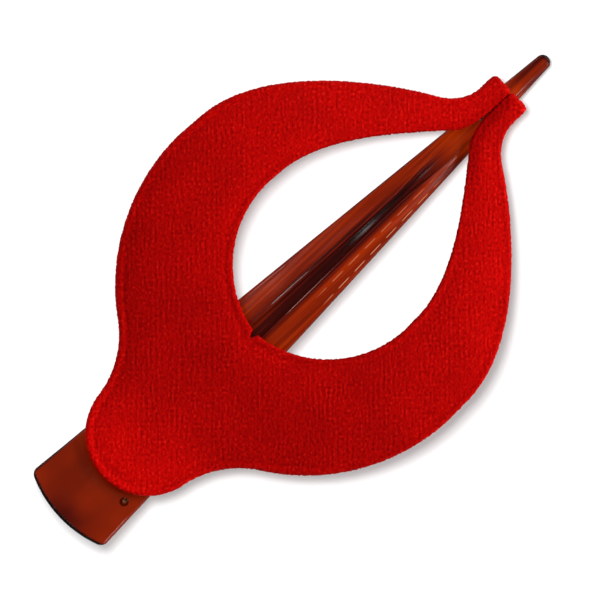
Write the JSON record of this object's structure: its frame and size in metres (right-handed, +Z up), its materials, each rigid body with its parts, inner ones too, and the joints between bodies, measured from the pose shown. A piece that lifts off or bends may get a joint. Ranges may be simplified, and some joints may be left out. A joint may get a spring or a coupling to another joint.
{
  "type": "hair clip",
  "caption": "Long sprung beak clip with a single open petal ornament, a padded crepe-covered loop glued along its upper jaw.",
  "frame": {"origin": "middle of the clip's length and width, on the plane that the lower jaw rests on", "axes": "+X along the clip from the thumb tab to the beak's tip, +Y across, +Z up through the petal"},
  "size_m": [0.131, 0.0762, 0.0214],
  "materials": {
    "tortoiseshell_plastic": "polished translucent brown",
    "spring_steel": "bright drawn pin, spring wire browned by heat treatment",
    "clear_glue": "dried clear adhesive",
    "lining_cloth": "fine plain weave, matt",
    "grey_board": "pressed board",
    "wadding": "soft fibre",
    "red_crepe": "pebbled crepe, slight sheen"
  },
  "bodies": {
    "lower": {"lower_jaw": "tortoiseshell_plastic"},
    "upper": {"upper_jaw": "tortoiseshell_plastic", "hinge_pin": "spring_steel", "torsion_spring": "spring_steel", "glue_pad_rear": "clear_glue", "glue_pad_tip": "clear_glue", "petal_lining": "lining_cloth", "petal_board": "grey_board", "petal_wadding": "wadding", "petal_cover": "red_crepe"}
  },
  "joints": [
    {"name": "jaw_hinge", "type": "hinge", "parent": "lower", "child": "upper", "pos_m": [-0.036, 0, 0.0078], "axis": [0, -1, 0], "range_deg": [0, 25], "stiffness_Nm_per_rad": 0.25, "springref_deg": -18.33, "deforming": ["torsion_spring"]}
  ]
}
